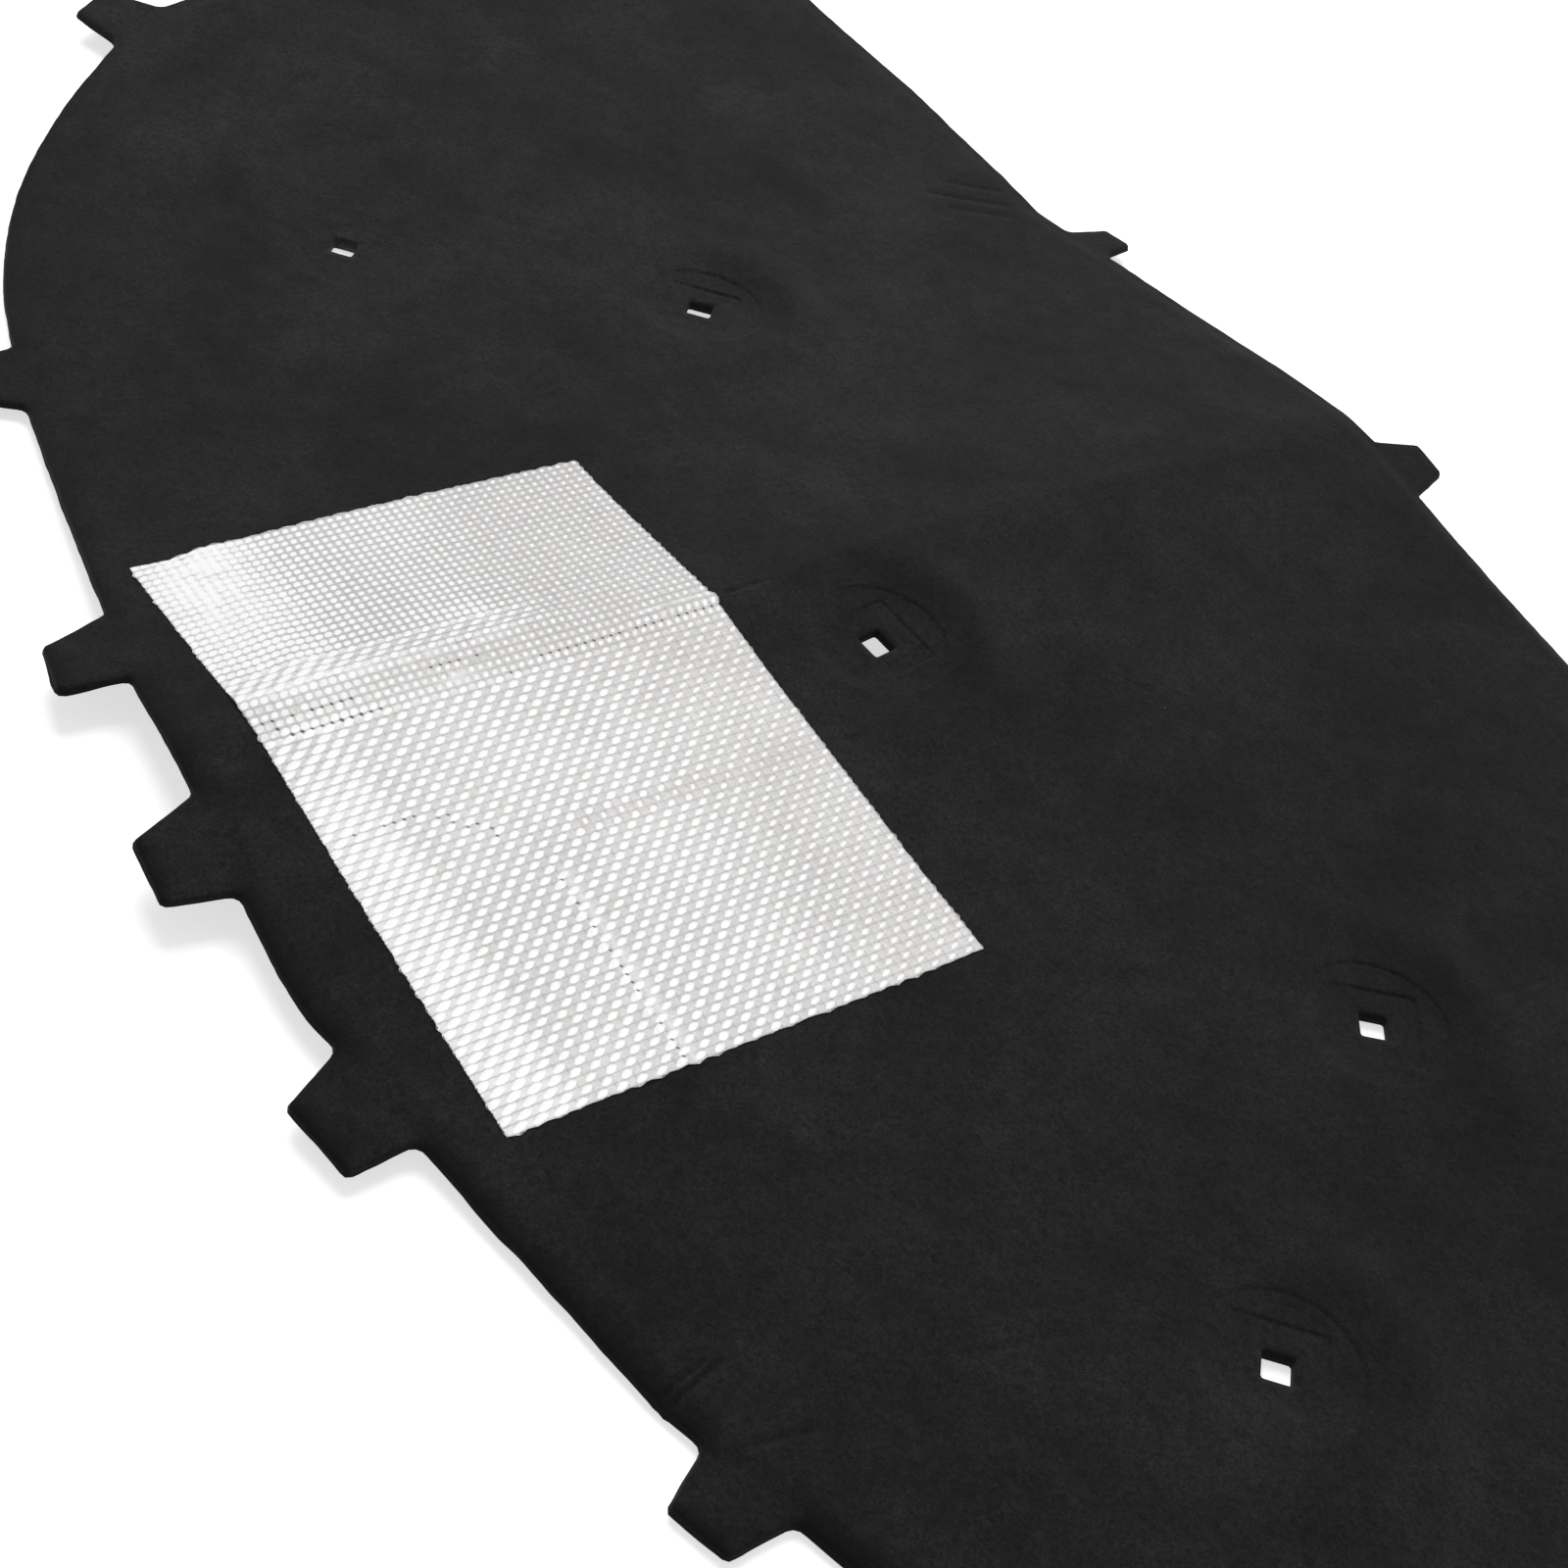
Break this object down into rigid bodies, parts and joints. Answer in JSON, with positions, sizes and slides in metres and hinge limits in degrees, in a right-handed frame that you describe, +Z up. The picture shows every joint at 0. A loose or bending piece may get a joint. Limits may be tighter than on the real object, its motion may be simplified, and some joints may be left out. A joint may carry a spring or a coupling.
{
  "type": "engine bay insulation pad",
  "caption": "Moulded black felt bonnet insulation pad with edge tabs, square clip holes in round dishes and a silvery woven heat-shield patch.",
  "frame": {"origin": "middle of the base of the pad's box, on the surface that the pad lies on", "axes": "+X across the car along the pad's length, +Y from the pad's front edge to its rear edge, +Z up out of its engine side"},
  "size_m": [1.2914, 0.7324, 0.0318],
  "materials": {
    "black_felt": "matte compression-moulded felt with a faint fibre nap",
    "woven_foil": "satin foil embossed by the glass cloth behind it"
  },
  "bodies": {
    "root": {"insulation_pad": "black_felt", "heat_shield_patch": "woven_foil"}
  },
  "joints": []
}
